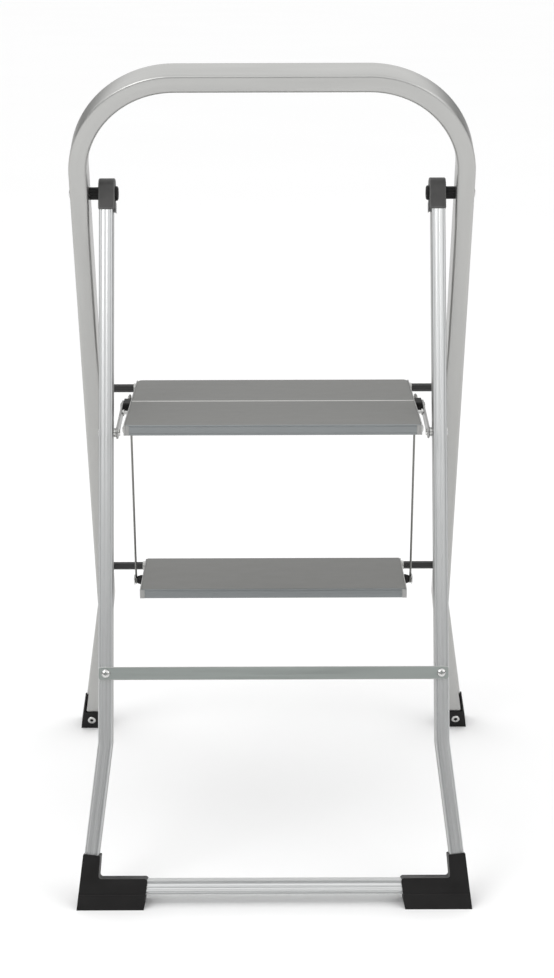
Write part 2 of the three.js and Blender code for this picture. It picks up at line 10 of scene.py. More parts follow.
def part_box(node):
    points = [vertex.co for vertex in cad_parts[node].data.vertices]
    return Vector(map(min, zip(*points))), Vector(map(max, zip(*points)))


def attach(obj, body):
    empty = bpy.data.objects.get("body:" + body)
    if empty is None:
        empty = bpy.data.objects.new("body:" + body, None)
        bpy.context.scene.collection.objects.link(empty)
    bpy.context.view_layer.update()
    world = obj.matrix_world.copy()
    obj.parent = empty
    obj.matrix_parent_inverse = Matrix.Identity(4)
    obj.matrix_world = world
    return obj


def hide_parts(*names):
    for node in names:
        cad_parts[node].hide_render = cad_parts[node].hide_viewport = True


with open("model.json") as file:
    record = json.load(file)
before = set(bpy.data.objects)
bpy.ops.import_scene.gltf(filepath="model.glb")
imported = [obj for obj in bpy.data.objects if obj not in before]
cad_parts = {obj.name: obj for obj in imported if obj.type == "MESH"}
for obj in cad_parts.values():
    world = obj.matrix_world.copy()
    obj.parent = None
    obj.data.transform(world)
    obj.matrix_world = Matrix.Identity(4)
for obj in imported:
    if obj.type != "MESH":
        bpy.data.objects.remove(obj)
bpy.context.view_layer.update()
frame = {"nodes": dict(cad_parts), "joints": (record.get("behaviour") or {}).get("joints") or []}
scene = bpy.context.scene
scene.view_settings.view_transform = "Standard"
sides = (("left", -1), ("right", 1))
print("frame loaded:", len(frame["nodes"]), "nodes")


# Places that everything hangs on, read from the joints
def jointPlace(name):
    found = next(joint for joint in frame["joints"] if joint["name"] == name)
    return Vector(found["pos_m"])


def boxCentre(node):
    low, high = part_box(node)
    return (low + high) / 2


pivot = jointPlace("support_fold")
topBarPlace = jointPlace("top_tread_tilt")
lowBarPlace = jointPlace("low_tread_tilt")
armPinPlace = jointPlace("link_arm_swing")
rodTopPlace = jointPlace("tie_rod_swing")
armRivetPlace = boxCentre("arm_rivet_right")
hoopLean = math.atan2(topBarPlace.y - pivot.y, pivot.z - topBarPlace.z)
supportLean = math.atan2(pivot.y - armPinPlace.y, pivot.z - armPinPlace.z)
inHoop = Matrix.Translation(pivot) @ Matrix.Rotation(hoopLean, 4, "X")       # hoop frame's own axes
inSupport = Matrix.Translation(pivot) @ Matrix.Rotation(-supportLean, 4, "X")
inTopTread = Matrix.Translation(topBarPlace)
inLowTread = Matrix.Translation(lowBarPlace)
topBarDrop = (topBarPlace - pivot).length
lowBarDrop = (lowBarPlace - pivot).length
clearance = 0.0003       # gap between neighbouring pieces
headGap = 0.0002         # gap under a fixing's head


# Camera, light and floor
view = {
    "place": (-0.0007, -2.2384, 0.9975), "pitch": -15.211, "yaw": -0.134, "roll": -0.144,
    "lens": 131.27, "sensor": 36.0,
}


def makeCamera():
    data = bpy.data.cameras.new("view")
    data.sensor_fit = "HORIZONTAL"
    data.sensor_width = view["sensor"]
    data.lens = view["lens"]
    data.clip_end = 200
    camera = bpy.data.objects.new("view", data)
    camera.location = view["place"]
    aim = Matrix.Rotation(math.radians(view["yaw"]), 3, "Z")
    aim = aim @ Matrix.Rotation(math.radians(90 + view["pitch"]), 3, "X")
    aim = aim @ Matrix.Rotation(math.radians(view["roll"]), 3, "Z")
    camera.rotation_euler = aim.to_euler()
    scene.collection.objects.link(camera)
    scene.camera = camera


lighting = {
    "strength": 1.3,
    "sky": 1.0,          # overhead and around
    "lowBand": 0.2,      # darker band a little above the horizon
    "key": 22.0, "keyPlace": (-1.7, -2.0, 2.7), "keySize": 1.6,
    "fill": 9.0, "fillPlace": (2.2, -1.4, 1.8), "fillSize": 1.8,
}


def areaLight(name, power, place, size):
    data = bpy.data.lights.new(name, "AREA")
    data.energy = power
    data.size = size
    light = bpy.data.objects.new(name, data)
    light.location = place
    light.rotation_euler = (Vector((0, 0, 0.5)) - Vector(place)).to_track_quat("-Z", "Y").to_euler()
    scene.collection.objects.link(light)


def makeLight():
    areaLight("key", lighting["key"], lighting["keyPlace"], lighting["keySize"])
    areaLight("fill", lighting["fill"], lighting["fillPlace"], lighting["fillSize"])
    world = bpy.data.worlds.new("studio")
    world.use_nodes = True
    scene.world = world
    tree = world.node_tree
    background = tree.nodes["Background"]
    direction = tree.nodes.new("ShaderNodeTexCoord")
    parts = tree.nodes.new("ShaderNodeSeparateXYZ")
    ramp = tree.nodes.new("ShaderNodeValToRGB")
    tree.links.new(direction.outputs["Generated"], parts.inputs[0])
    tree.links.new(parts.outputs["Z"], ramp.inputs["Fac"])
    tree.links.new(ramp.outputs["Color"], background.inputs["Color"])
    background.inputs["Strength"].default_value = lighting["strength"]
    low, sky = lighting["lowBand"], lighting["sky"]
    stops = [(0.0, 0.5), (0.04, low), (0.24, low), (0.34, 0.44), (0.48, sky), (1.0, sky * 0.85)]
    while len(ramp.color_ramp.elements) < len(stops):
        ramp.color_ramp.elements.new(0.5)
    for element, (at, level) in zip(ramp.color_ramp.elements, stops):
        element.position = at
        element.color = (level, level, level, 1)


def makeFloor():
    shape = bmesh.new()
    bmesh.ops.create_circle(shape, cap_ends=True, segments=96, radius=60)
    mesh = bpy.data.meshes.new("floor")
    shape.to_mesh(mesh)
    shape.free()
    floor = bpy.data.objects.new("floor", mesh)
    scene.collection.objects.link(floor)
    mesh.materials.append(floorPaint())


# Materials
def principled(name):
    material = bpy.data.materials.new(name)
    material.use_nodes = True
    return material, material.node_tree, material.node_tree.nodes["Principled BSDF"]


# Noise stretched by scale, from the piece's own coordinates or from an attribute that follows a tube
def noiseOf(tree, scale, detail=3.0, attribute=None):
    if attribute:
        source = tree.nodes.new("ShaderNodeAttribute")
        source.attribute_name = attribute
        vector = source.outputs["Vector"]
    else:
        vector = tree.nodes.new("ShaderNodeTexCoord").outputs["Object"]
    mapping = tree.nodes.new("ShaderNodeMapping")
    mapping.inputs["Scale"].default_value = scale
    noise = tree.nodes.new("ShaderNodeTexNoise")
    noise.inputs["Scale"].default_value = 1.0
    noise.inputs["Detail"].default_value = detail
    tree.links.new(vector, mapping.inputs["Vector"])
    tree.links.new(mapping.outputs["Vector"], noise.inputs["Vector"])
    return noise.outputs["Fac"]


def ranged(tree, value, low, high):
    node = tree.nodes.new("ShaderNodeMapRange")
    node.inputs["From Min"].default_value = 0.3
    node.inputs["From Max"].default_value = 0.7
    node.inputs["To Min"].default_value = low
    node.inputs["To Max"].default_value = high
    tree.links.new(value, node.inputs["Value"])
    return node.outputs["Result"]


def blendOf(tree, factor, first, second):
    node = tree.nodes.new("ShaderNodeMix")
    node.data_type = "RGBA"
    node.inputs["A"].default_value = (*first, 1)
    node.inputs["B"].default_value = (*second, 1)
    tree.links.new(factor, node.inputs["Factor"])
    return node.outputs["Result"]


def bumpOf(tree, shader, height, strength, distance):
    bump = tree.nodes.new("ShaderNodeBump")
    bump.inputs["Strength"].default_value = strength
    bump.inputs["Distance"].default_value = distance
    tree.links.new(height, bump.inputs["Height"])
    tree.links.new(bump.outputs["Normal"], shader.inputs["Normal"])


def shaded(colour, factor):
    return tuple(min(1.0, part * factor) for part in colour)


# Fine lines laid over clouds
def layered(tree, lines, share, clouds):
    tone = tree.nodes.new("ShaderNodeMath")
    tone.operation = "MULTIPLY_ADD"
    tree.links.new(lines, tone.inputs[0])
    tone.inputs[1].default_value = share
    tree.links.new(clouds, tone.inputs[2])
    return tone.outputs["Value"]


def painted(tree, shader, paint, roughness, metallic=0.0):
    tree.links.new(paint, shader.inputs["Base Color"])
    tree.links.new(roughness, shader.inputs["Roughness"])
    shader.inputs["Metallic"].default_value = metallic


# Drawn aluminium: long fine die lines over cloudy anodising
def drawnAluminium(name, colour, roughness, fine, cloud, attribute=None, lines=0.5, wear=0.09):
    material, tree, shader = principled(name)
    streaks = noiseOf(tree, fine, 4.0, attribute)
    clouds = noiseOf(tree, cloud, 2.0, attribute)
    tone = layered(tree, streaks, 0.35, ranged(tree, clouds, 0.2, 0.6))
    paint = blendOf(tree, tone, shaded(colour, 1 - wear), shaded(colour, 1 + wear))
    dullness = ranged(tree, streaks, roughness - 0.6 * wear, roughness + 0.8 * wear)
    painted(tree, shader, paint, dullness, 1.0)
    bumpOf(tree, shader, streaks, lines, 0.00004)
    return material


def turnedSteel(name, colour, roughness):
    material, tree, shader = principled(name)
    clouds = noiseOf(tree, (260, 260, 260), 3.0)
    paint = blendOf(tree, clouds, shaded(colour, 0.82), shaded(colour, 1.1))
    painted(tree, shader, paint, ranged(tree, clouds, roughness - 0.05, roughness + 0.1), 1.0)
    bumpOf(tree, shader, noiseOf(tree, (1800, 1800, 1800), 2.0), 0.25, 0.00003)
    return material


# Moulded nylon: spark-eroded grain, faint flow clouds and rubbed patches
def mouldedPlastic(name, colour, roughness, gloss):
    material, tree, shader = principled(name)
    clouds = noiseOf(tree, (45, 45, 45), 4.0)
    speckle = noiseOf(tree, (2400, 2400, 2400), 2.0)
    paint = blendOf(tree, ranged(tree, clouds, 0.0, 1.0), shaded(colour, 0.8), shaded(colour, 1.25))
    painted(tree, shader, paint, ranged(tree, clouds, roughness - 0.07, roughness + 0.08))
    shader.inputs["Specular IOR Level"].default_value = gloss
    bumpOf(tree, shader, speckle, 0.35, 0.00006)
    return material


# Tread sheet: matt coating with fine grit, drawn lengthwise tone and scuffs
def coatedTread(name, colour, roughness):
    material, tree, shader = principled(name)
    drawn = noiseOf(tree, (6, 420, 420), 3.0)
    scuffs = noiseOf(tree, (35, 60, 35), 5.0)
    tone = layered(tree, drawn, 0.4, ranged(tree, scuffs, 0.1, 0.5))
    paint = blendOf(tree, tone, shaded(colour, 0.92), shaded(colour, 1.08))
    painted(tree, shader, paint, ranged(tree, scuffs, roughness - 0.05, roughness + 0.06), 0.6)
    bumpOf(tree, shader, noiseOf(tree, (1600, 1600, 1600), 2.0), 0.4, 0.00006)
    return material


def floorPaint():
    material, tree, shader = principled("floor paint")
    clouds = noiseOf(tree, (0.7, 0.7, 0.7), 2.0)
    tree.links.new(blendOf(tree, clouds, (0.93, 0.93, 0.93), (0.95, 0.95, 0.95)), shader.inputs["Base Color"])
    shader.inputs["Roughness"].default_value = 0.85
    shader.inputs["Specular IOR Level"].default_value = 0.15
    return material


alongTube = "unbent"     # the attribute that follows a bent tube


def tubeMetal(name, colour, roughness, lines=0.5, wear=0.09):
    return drawnAluminium(name, colour, roughness, (900, 900, 9), (60, 60, 5), alongTube, lines, wear)


hoopMetal = tubeMetal("hoop aluminium", (0.45, 0.45, 0.44), 0.36)
legMetal = tubeMetal("leg aluminium", (0.63, 0.64, 0.64), 0.3, 0.1, 0.035)
# A darker, rougher copy of the leg metal for the tube's side walls: painted shade
legSideShade = tubeMetal("leg side painted shade", (0.33, 0.335, 0.33), 0.4, 0.1, 0.035)
strapMetal = drawnAluminium("strap aluminium", (0.37, 0.40, 0.385), 0.38, (9, 900, 900), (5, 60, 60))
edgeMetal = drawnAluminium("edge aluminium", (0.50, 0.50, 0.485), 0.34, (700, 12, 700), (60, 8, 60))
armMetal = drawnAluminium("arm aluminium", (0.36, 0.36, 0.355), 0.36, (700, 40, 40), (60, 20, 20))
treadMetal = coatedTread("tread coating", (0.222, 0.222, 0.214), 0.55)
# Bluer, lighter copy of the tread coating for faces turned to the near side: painted reflection
lipPaintedReflection = coatedTread("lip coating painted reflection", (0.25, 0.265, 0.27), 0.5)
brightSteel = turnedSteel("bright steel", (0.62, 0.62, 0.61), 0.22)
wireSteel = turnedSteel("wire steel", (0.21, 0.21, 0.2), 0.3)
sleevePlastic = mouldedPlastic("ribbed nylon", (0.010, 0.0095, 0.0095), 0.32, 0.5)
blackPlastic = mouldedPlastic("black nylon", (0.009, 0.0086, 0.0086), 0.5, 0.2)
# Lighter black nylon for rounded edges: partly rubbed wear, partly painted highlight
rubbedBlackHighlight = mouldedPlastic("black nylon rubbed edge highlight", (0.038, 0.037, 0.037), 0.42, 0.35)
greyPlastic = mouldedPlastic("grey nylon", (0.055, 0.054, 0.053), 0.5, 0.35)
# Lighter grey nylon for rounded edges: partly rubbed wear, partly painted highlight
rubbedGreyHighlight = mouldedPlastic("grey nylon rubbed edge highlight", (0.085, 0.085, 0.083), 0.45, 0.4)


# Shape helpers
def linked(name, mesh):
    piece = bpy.data.objects.new(name, mesh)
    scene.collection.objects.link(piece)
    return piece


def fromShape(name, shape):
    bmesh.ops.recalc_face_normals(shape, faces=shape.faces)
    mesh = bpy.data.meshes.new(name)
    shape.to_mesh(mesh)
    shape.free()
    return linked(name, mesh)


# Corners are (across, up, radius); each corner with a radius becomes an arc
def filleted(corners, turnStep=9):
    points = []
    for index, (x, y, radius) in enumerate(corners):
        here = Vector((x, y))
        if not radius:
            points.append(here)
            continue
        back = (Vector(corners[index - 1][:2]) - here).normalized()
        ahead = (Vector(corners[(index + 1) % len(corners)][:2]) - here).normalized()
        half = back.angle(ahead) / 2
        centre = here + (back + ahead).normalized() * radius / math.sin(half)
        arm = here + back * radius / math.tan(half) - centre
        last = here + ahead * radius / math.tan(half) - centre
        turn = math.atan2(arm.cross(last), arm.dot(last))
        steps = max(1, math.ceil(abs(turn) / math.radians(turnStep)))
        for step in range(steps + 1):
            points.append(centre + Matrix.Rotation(turn * step / steps, 2) @ arm)
    return points


# An outline made thick along one axis, from low to high
def plate(name, outline, low, high, along="x"):
    turns = {"x": (2, 0, 1), "y": (0, 2, 1), "z": (0, 1, 2)}[along]
    shape = bmesh.new()
    rings = []
    for at in (low, high):
        corners = [(a, b, at) for a, b in outline]
        rings.append([shape.verts.new([corner[turn] for turn in turns]) for corner in corners])
    for ring in rings:
        shape.faces.new(ring)
    count = len(outline)
    for index in range(count):
        after = (index + 1) % count
        shape.faces.new((rings[0][index], rings[0][after], rings[1][after], rings[1][index]))
    return fromShape(name, shape)


def block(name, low, high):
    outline = [(low[0], low[1]), (high[0], low[1]), (high[0], high[1]), (low[0], high[1])]
    return plate(name, outline, low[2], high[2], "z")


# A piece turned about X; profile points are (x, radius), closed on itself or ending on the axis
def turned(name, profile, steps=40, ring=False):
    shape = bmesh.new()
    rows = []
    for x, radius in profile:
        if radius == 0:
            rows.append([shape.verts.new((x, 0, 0))] * steps)
            continue
        angles = [2 * math.pi * step / steps for step in range(steps)]
        rows.append([shape.verts.new((x, radius * math.cos(a), radius * math.sin(a))) for a in angles])
    pairs = list(zip(rows, rows[1:])) + ([(rows[-1], rows[0])] if ring else [])
    for first, second in pairs:
        for step in range(steps):
            after = (step + 1) % steps
            corners = [first[step], first[after], second[after], second[step]]
            shape.faces.new(list(dict.fromkeys(corners)))
    return fromShape(name, shape)


def settle(piece):
    depsgraph = bpy.context.evaluated_depsgraph_get()
    mesh = bpy.data.meshes.new_from_object(
        piece.evaluated_get(depsgraph), preserve_all_data_layers=True, depsgraph=depsgraph,
    )
    piece.modifiers.clear()
    piece.data = mesh
    return piece


def combine(piece, others, operation="DIFFERENCE"):
    for other in others:
        modifier = piece.modifiers.new("combine", "BOOLEAN")
        modifier.operation = operation
        modifier.solver = "EXACT"
        modifier.object = other
    settle(piece)
    for other in others:
        bpy.data.objects.remove(other)
    return piece


def moved(piece, place):
    piece.data.transform(place)
    return piece


# Round the edges; the rounding takes the piece's second material, where the finish is rubbed; on the black
# and grey nylon that material is lighter, partly wear and partly painted highlight along the edges
def eased(piece, width, materials, segments=3):
    for material in materials:
        piece.data.materials.append(material)
    piece.data.shade_smooth()
    modifier = piece.modifiers.new("edges", "BEVEL")
    modifier.width = width
    modifier.segments = segments
    modifier.limit_method = "ANGLE"
    modifier.angle_limit = math.radians(32)
    modifier.harden_normals = True
    modifier.material = len(materials) - 1
    settle(piece)
    return piece


def joined(pieces):
    shape = bmesh.new()
    for piece in pieces:
        shape.from_mesh(piece.data)
    first = pieces[0]
    shape.to_mesh(first.data)
    shape.free()
    for piece in pieces[1:]:
        bpy.data.objects.remove(piece)
    return first


def softShade(piece, angle=35):
    piece.data.shade_smooth()
    piece.data.set_sharp_from_angle(angle=math.radians(angle))
    return piece


# Give a finished piece its name and body, and hide the nodes that it stands for
def fit(piece, name, body, nodes):
    piece.name = name
    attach(piece, body)
    if nodes:
        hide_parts(*nodes)
    return piece


# Geometry Nodes: a section along a path, and a fixing at each of a set of points
def startTree(name, inputs):
    tree = bpy.data.node_groups.new(name, "GeometryNodeTree")
    for label, kind in inputs:
        tree.interface.new_socket(name=label, in_out="INPUT", socket_type="NodeSocket" + kind)
    tree.interface.new_socket(name="Result", in_out="OUTPUT", socket_type="NodeSocketGeometry")
    return tree, tree.nodes.new("NodeGroupInput")


def endTree(tree, given, geometry):
    new, link = tree.nodes.new, tree.links.new
    real = new("GeometryNodeRealizeInstances")
    link(geometry, real.inputs["Geometry"])
    finish = new("GeometryNodeSetMaterial")
    link(real.outputs["Geometry"], finish.inputs["Geometry"])
    link(given.outputs["Finish"], finish.inputs["Material"])
    link(finish.outputs["Geometry"], new("NodeGroupOutput").inputs["Result"])
    return tree


def makeTubeTree():
    tree, given = startTree("tube along path", (
        ("Path", "Geometry"), ("Section", "Object"), ("Side", "Vector"), ("Finish", "Material"),
    ))
    new, link = tree.nodes.new, tree.links.new
    path = new("GeometryNodeMeshToCurve")
    link(given.outputs["Path"], path.inputs["Mesh"])
    normal = new("GeometryNodeSetCurveNormal")
    normal.mode = "FREE"
    link(path.outputs["Curve"], normal.inputs["Curve"])
    link(given.outputs["Side"], normal.inputs["Normal"])
    runs = new("GeometryNodeCaptureAttribute")
    runs.capture_items.new("FLOAT", "Run")
    link(normal.outputs["Curve"], runs.inputs["Geometry"])
    link(new("GeometryNodeSplineParameter").outputs["Length"], runs.inputs["Run"])
    source = new("GeometryNodeObjectInfo")
    link(given.outputs["Section"], source.inputs["Object"])
    section = new("GeometryNodeMeshToCurve")
    link(source.outputs["Geometry"], section.inputs["Mesh"])
    around = new("GeometryNodeCaptureAttribute")
    around.capture_items.new("VECTOR", "Around")
    link(section.outputs["Curve"], around.inputs["Geometry"])
    link(new("GeometryNodeInputPosition").outputs["Position"], around.inputs["Around"])
    tube = new("GeometryNodeCurveToMesh")
    tube.inputs["Fill Caps"].default_value = True
    link(runs.outputs["Geometry"], tube.inputs["Curve"])
    link(around.outputs["Geometry"], tube.inputs["Profile Curve"])
    split = new("ShaderNodeSeparateXYZ")
    link(around.outputs["Around"], split.inputs["Vector"])
    straight = new("ShaderNodeCombineXYZ")
    link(split.outputs["X"], straight.inputs["X"])
    link(split.outputs["Y"], straight.inputs["Y"])
    link(runs.outputs["Run"], straight.inputs["Z"])
    store = new("GeometryNodeStoreNamedAttribute")
    store.data_type = "FLOAT_VECTOR"
    store.inputs["Name"].default_value = alongTube
    link(tube.outputs["Mesh"], store.inputs["Geometry"])
    link(straight.outputs["Vector"], store.inputs["Value"])
    return endTree(tree, given, store.outputs["Geometry"])


def makeFixingTree():
    tree, given = startTree("fixing at points", (
        ("Points", "Geometry"), ("Fixing", "Object"), ("Finish", "Material"),
    ))
    new, link = tree.nodes.new, tree.links.new
    source = new("GeometryNodeObjectInfo")
    source.inputs["As Instance"].default_value = True
    link(given.outputs["Fixing"], source.inputs["Object"])
    turn = new("GeometryNodeInputNamedAttribute")
    turn.data_type = "FLOAT_VECTOR"
    turn.inputs["Name"].default_value = "turn"
    stamp = new("GeometryNodeInstanceOnPoints")
    link(given.outputs["Points"], stamp.inputs["Points"])
    link(source.outputs["Geometry"], stamp.inputs["Instance"])
    link(turn.outputs["Attribute"], stamp.inputs["Rotation"])
    return endTree(tree, given, stamp.outputs["Instances"])


tubeTree, fixingTree = makeTubeTree(), makeFixingTree()


def runTree(piece, tree, values):
    modifier = piece.modifiers.new("shape", "NODES")
    modifier.node_group = tree
    for item in tree.interface.items_tree:
        if item.name in values:
            modifier[item.identifier] = values[item.name]
    return settle(piece)


def wire(name, points, closed=False):
    mesh = bpy.data.meshes.new(name)
    edges = [(index, index + 1) for index in range(len(points) - 1)]
    if closed:
        edges.append((len(points) - 1, 0))
    mesh.from_pydata([tuple(point) for point in points], edges, [])
    return linked(name, mesh)


def tubeAlong(name, path, section, finish, side=(0.0, 1.0, 0.0)):
    profile = wire(name + " section", [(x, y, 0) for x, y in section], closed=True)
    piece = wire(name, path)
    runTree(piece, tubeTree, {"Section": profile, "Side": side, "Finish": finish})
    bpy.data.objects.remove(profile)
    shape = bmesh.new()
    shape.from_mesh(piece.data)
    bmesh.ops.recalc_face_normals(shape, faces=shape.faces)
    shape.to_mesh(piece.data)
    shape.free()
    return softShade(piece)


def fixings(name, stamp, places, finish):
    mesh = bpy.data.meshes.new(name)
    mesh.from_pydata([place for place, turn in places], [], [])
    turns = mesh.attributes.new("turn", "FLOAT_VECTOR", "POINT")
    for index, (place, turn) in enumerate(places):
        turns.data[index].vector = turn
    piece = runTree(linked(name, mesh), fixingTree, {"Fixing": stamp, "Finish": finish})
    bpy.data.objects.remove(stamp)
    return softShade(piece)


# A fixing made for the right-hand side lies along X; the left one is the same, turned round
def pairPlaces(y, z):
    return [((0.0, y, z), (0.0, 0.0, 0.0 if side > 0 else math.pi)) for name, side in sides]


# Fixings that face the near side of their frame
def frontPlaces(x, y, z):
    return [((side * x, y, z), (0.0, 0.0, -math.pi / 2)) for name, side in sides]


# Profile of a pin with a domed head, along X
def headed(root, shank, seat, radius, height, crown=7):
    profile = [(root, 0), (root, shank), (seat, shank), (seat, radius)]
    for step in range(1, crown):
        turn = math.pi / 2 * step / crown
        profile.append((seat + height * math.sin(turn), radius * math.cos(turn) ** 0.8))
    return profile + [(seat + height, 0)]


def roundSection(radius, count=12):
    turns = [2 * math.pi * step / count for step in range(count)]
    return [(radius * math.cos(turn), radius * math.sin(turn)) for turn in turns]


def mirrored(outline, side):
    return [(side * x, y) for x, y in outline]


# Where something from first to second lies on one side, low end first
def span(side, first, second):
    return sorted((side * first, side * second))


# One fixing at its two places, fitted as a single piece for the left and right nodes
def fitPair(name, stamp, places, finish, place, body, node):
    piece = moved(fixings(name, stamp, places, finish), place)
    fit(piece, name, body, [f"{node}_{end}" for end, way in sides])


# Hoop rail
hoop = {
    "halfWidth": 0.220, "tubeWidth": 0.020, "tubeDepth": 0.035, "corner": 0.0032,
    "aboveOuter": 0.146, "bend": 0.107, "kinkDrop": 0.571, "kink": 0.05, "splay": 8.4,
    "shortOfFloor": 0.010,
}
hoopInner = hoop["halfWidth"] - hoop["tubeWidth"]
hoopAxis = hoop["halfWidth"] - hoop["tubeWidth"] / 2
hoopFloorDrop = pivot.z / math.cos(hoopLean)


# How far out a tube's axis has moved below its kink
def splayed(drop, setting):
    return (drop - setting["kinkDrop"]) * math.tan(math.radians(setting["splay"]))


def hoopMiddle(drop):
    return hoopAxis + splayed(drop, hoop)


def rectangle(x, y, radius, turnStep=9):
    return filleted([(-x, -y, radius), (x, -y, radius), (x, y, radius), (-x, y, radius)], turnStep)


def makeHoop():
    end = hoopFloorDrop - hoop["shortOfFloor"]
    endX = hoopMiddle(end)
    top = hoop["aboveOuter"] - hoop["tubeWidth"] / 2
    corners = [
        (-endX, -end, 0), (-hoopAxis, -hoop["kinkDrop"], hoop["kink"]), (-hoopAxis, top, hoop["bend"]),
        (hoopAxis, top, hoop["bend"]), (hoopAxis, -hoop["kinkDrop"], hoop["kink"]), (endX, -end, 0),
    ]
    path = [(x, 0, z) for x, z in filleted(corners, turnStep=2)]
    section = rectangle(hoop["tubeDepth"] / 2, hoop["tubeWidth"] / 2, hoop["corner"], turnStep=15)
    rail = moved(tubeAlong("hoop", path, section, hoopMetal), inHoop)
    fit(rail, "hoop_tube", "climbing_frame", ["hoop_rail"])
    print("hoop tube made")


# Support frame tubes
leg = {
    "halfWidth": 0.1885, "tubeWidth": 0.015, "tubeDepth": 0.022, "topDrop": 0.0195,
    "kinkDrop": 0.598, "kink": 0.035, "splay": 6.9, "endDrop": 0.739,
    "crossDrop": 0.751, "crossHalf": 0.178,
    "rail": 0.0020, "recess": 0.0007, "ribs": 2, "ribWidth": 0.0008, "ribHeight": 0.00025,
    "edge": 0.0008,
}
legAxis = leg["halfWidth"] - leg["tubeWidth"] / 2
supportFloorDrop = pivot.z / math.cos(supportLean)


def legMiddle(drop):
    return legAxis + splayed(drop, leg)


# One narrow face of the tube: a raised rail at each edge, and fine ribs between them
def ribbedFace():
    half, face = leg["tubeWidth"] / 2, leg["tubeDepth"] / 2
    floor = face - leg["recess"]
    across = [(-half, face - leg["edge"]), (-half + leg["edge"], face), (-half + leg["rail"], face)]
    across.append((-half + leg["rail"] + leg["recess"], floor))
    spread = 2 * (half - leg["rail"]) / (leg["ribs"] + 1)
    for index in range(leg["ribs"]):
        middle = -half + leg["rail"] + spread * (index + 1)
        across += [
            (middle - leg["ribWidth"], floor), (middle - leg["ribWidth"] / 2, floor + leg["ribHeight"]),
            (middle + leg["ribWidth"] / 2, floor + leg["ribHeight"]), (middle + leg["ribWidth"], floor),
        ]
    across.append((half - leg["rail"] - leg["recess"], floor))
    across += [(half - leg["rail"], face), (half - leg["edge"], face), (half, face - leg["edge"])]
    return across


def ribbedSection():
    front = [(depth, across) for across, depth in ribbedFace()]
    back = [(-depth, -across) for depth, across in front]
    return front + back


# The tube's two side walls take a darker, rougher copy of the leg metal: painted shade on the side walls
def shadeSideWalls(tube):
    tube.data.materials.append(legSideShade)
    for face in tube.data.polygons:
        face.material_index = 1 if abs(face.normal.x) > 0.8 else 0
    return tube


def makeLegs():
    for name, side in sides:
        endX = legMiddle(leg["endDrop"])
        corners = [
            (side * endX, -leg["endDrop"], 0), (side * legAxis, -leg["kinkDrop"], leg["kink"]),
            (side * legAxis, -leg["topDrop"], 0),
        ]
        path = [(x, 0, z) for x, z in filleted(corners, turnStep=1.5)]
        tube = shadeSideWalls(moved(tubeAlong("leg", path, ribbedSection(), legMetal), inSupport))
        fit(tube, f"leg_tube_{name}", "support_frame", [f"support_leg_{name}"])
    path = [(-leg["crossHalf"], 0, -leg["crossDrop"]), (leg["crossHalf"], 0, -leg["crossDrop"])]
    cross = moved(tubeAlong("cross tube", path, ribbedSection(), legMetal), inSupport)
    fit(cross, "cross_tube", "support_frame", ["bottom_tube"])
    print("leg tubes made")


# Pivots: caps on the leg tops, fluted bushes, domed nuts and bolts
pivotSet = {
    "reach": 0.001, "reachIn": 0.002, "dome": 0.0045, "round": 0.0014,
    "skirt": 0.0006, "skirtTop": 0.009, "skirtLow": 0.0208, "skirtHalf": 0.009, "skirtRound": 0.0004,
    "bolt": 0.003, "head": 0.006, "headHeight": 0.0022,
    "bush": 0.007, "flutes": 14, "fluteDepth": 0.0006,
    "nut": 0.008, "nutHeight": 0.0030, "nutEye": 0.0028, "boltRoot": 0.0012,
}
capOuter = leg["halfWidth"] + pivotSet["reach"]
capInner = leg["halfWidth"] - leg["tubeWidth"] - pivotSet["reachIn"]

def makeCaps():
    half = leg["tubeDepth"] / 2 + pivotSet["reach"]
    low, top = clearance - leg["topDrop"], pivotSet["dome"] + half
    outline = filleted([
        (-half, low, 0), (half, low, 0), (half, top, half * 0.97), (-half, top, half * 0.97),
    ], turnStep=7.5)
    skirtHalf = pivotSet["skirtHalf"]
    skirt = filleted([
        (-skirtHalf, -pivotSet["skirtLow"], 0.002), (skirtHalf, -pivotSet["skirtLow"], 0.002),
        (skirtHalf, -pivotSet["skirtTop"], 0.004), (-skirtHalf, -pivotSet["skirtTop"], 0.004),
    ])
    for name, side in sides:
        shell = plate("cap", outline, *span(side, capInner, capOuter))
        eased(shell, pivotSet["round"], [greyPlastic, rubbedGreyHighlight])
        lug = plate("lug", skirt, *span(side, capInner, capInner - pivotSet["skirt"]))
        eased(lug, pivotSet["skirtRound"], [greyPlastic, rubbedGreyHighlight])
        cap = moved(joined([shell, lug]), inSupport)
        fit(cap, f"cap_shell_{name}", "support_frame", [f"leg_cap_{name}"])


# A sleeve along X with shallow flutes, right-hand side
def flutedSleeve(name, ends, inner, outer, flutes, depth, each=4):
    count = flutes * each
    shape = bmesh.new()
    loops = []
    near, far = ends
    for x, radius, deep in ((near, inner, 0), (near, outer, depth), (far, outer, depth), (far, inner, 0)):
        loop = []
        for step in range(count):
            turn = 2 * math.pi * step / count
            r = radius - deep * (0.5 - 0.5 * math.cos(flutes * turn)) ** 2
            loop.append(shape.verts.new((x, r * math.cos(turn), r * math.sin(turn))))
        loops.append(loop)
    for first, second in zip(loops, loops[1:] + loops[:1]):
        for step in range(count):
            after = (step + 1) % count
            shape.faces.new((first[step], first[after], second[after], second[step]))
    return fromShape(name, shape)


